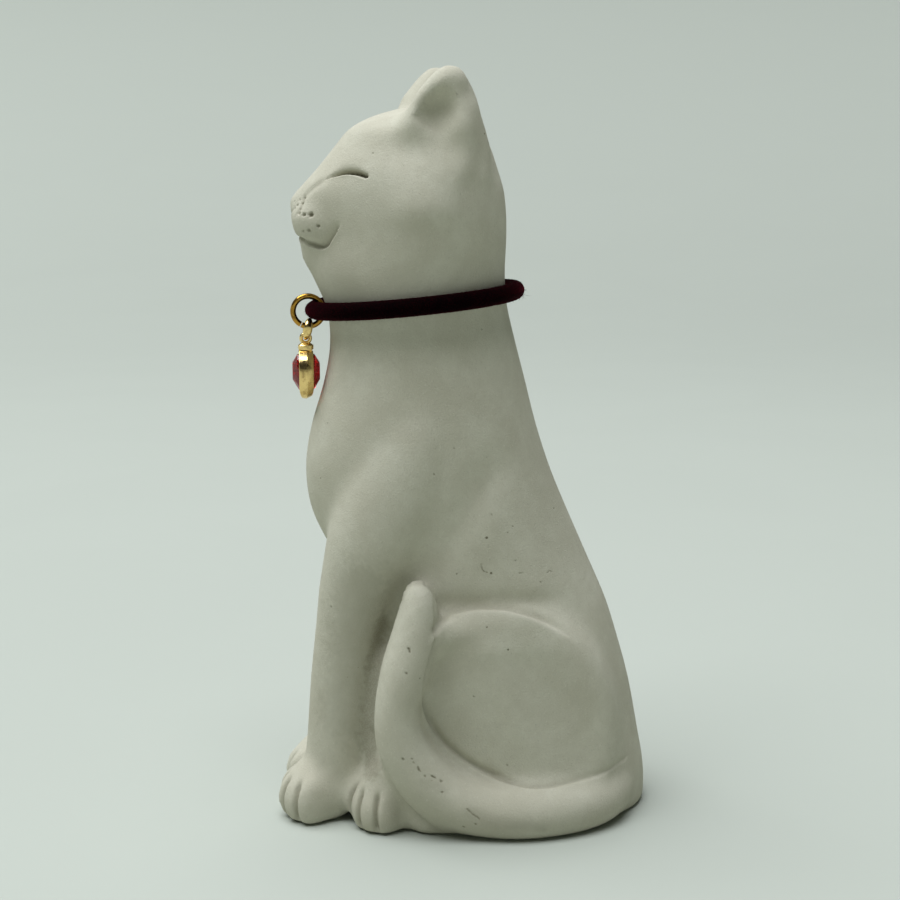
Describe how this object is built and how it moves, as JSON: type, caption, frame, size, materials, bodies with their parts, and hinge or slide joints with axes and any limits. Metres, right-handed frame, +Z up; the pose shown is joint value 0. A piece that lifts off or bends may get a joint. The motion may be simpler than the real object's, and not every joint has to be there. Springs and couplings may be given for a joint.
{
  "type": "seated cat figurine",
  "caption": "Seated cat figurine cast in pale plaster, with a round elastic collar carrying a split ring, a link and a banded red crystal charm.",
  "frame": {"origin": "on the flat base, under the middle of the trunk", "axes": "+Z up from the base, -Y the way the cat faces, +X the cat's left side, where the tail lies"},
  "size_m": [0.0479, 0.0746, 0.1464],
  "materials": {
    "plaster": "matte, unglazed plaster",
    "velvet": "burgundy velvet",
    "gold": "polished, gold coloured",
    "red_crystal": "clear red, faceted"
  },
  "bodies": {
    "cat": {"cat_body": "plaster", "collar_cord": "velvet"},
    "ring": {"jump_ring": "gold"},
    "link": {"charm_link": "gold"},
    "charm": {"charm_cap": "gold", "charm_band": "gold", "crystal": "red_crystal"}
  },
  "joints": [
    {"name": "ring_swing", "type": "hinge", "parent": "cat", "child": "ring", "pos_m": [0, -0.02884, 0.09957], "axis": [-1, 0, 0], "range_deg": [0, 30]},
    {"name": "link_sway", "type": "hinge", "parent": "ring", "child": "link", "pos_m": [0, -0.02957, 0.09648], "axis": [0, 1, 0], "range_deg": [-20, 20]},
    {"name": "charm_rock", "type": "hinge", "parent": "link", "child": "charm", "pos_m": [0, -0.03011, 0.09414], "axis": [-1, 0, 0], "range_deg": [0, 60]}
  ]
}
